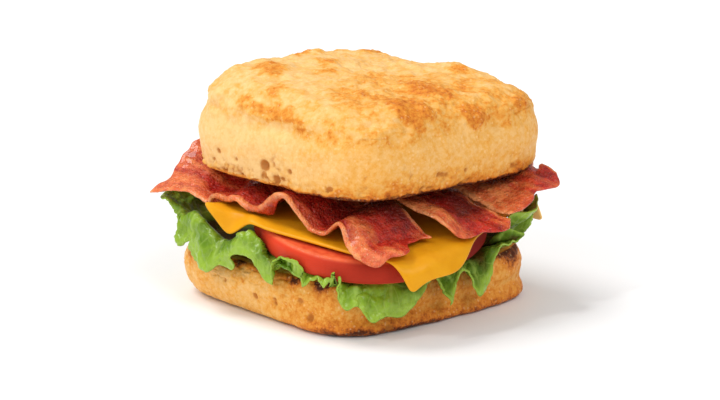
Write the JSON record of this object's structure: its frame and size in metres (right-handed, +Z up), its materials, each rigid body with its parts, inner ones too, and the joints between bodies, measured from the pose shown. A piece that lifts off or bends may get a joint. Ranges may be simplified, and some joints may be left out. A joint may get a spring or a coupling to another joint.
{
  "type": "blt sandwich",
  "caption": "Bacon, lettuce and tomato sandwich with melted cheese in a square bread roll, standing on its flat base.",
  "frame": {"origin": "middle of the bounding box's base, on the surface that the roll stands on", "axes": "+X to the right of the front view, along the longest extent over the bacon tips; +Y away from the front view; +Z up, the shortest extent"},
  "size_m": [0.155, 0.1381, 0.0884],
  "materials": {
    "crust": "baked bread crust, matt, with browned blisters and fine pores",
    "lettuce": "fresh leaf, satin, veined, darker towards its middle",
    "tomato": "glossy skin and moist cut flesh",
    "cheese": "melted cheese, smooth and satin",
    "bacon": "fried bacon, streaked lean and fat, glossy"
  },
  "bodies": {
    "root": {"bun_bottom": "crust", "lettuce_left": "lettuce", "lettuce_right": "lettuce", "tomato_slice": "tomato", "cheese_slice": "cheese", "bacon_front": "bacon", "bacon_middle": "bacon", "bacon_back": "bacon", "bun_top": "crust"}
  },
  "joints": []
}
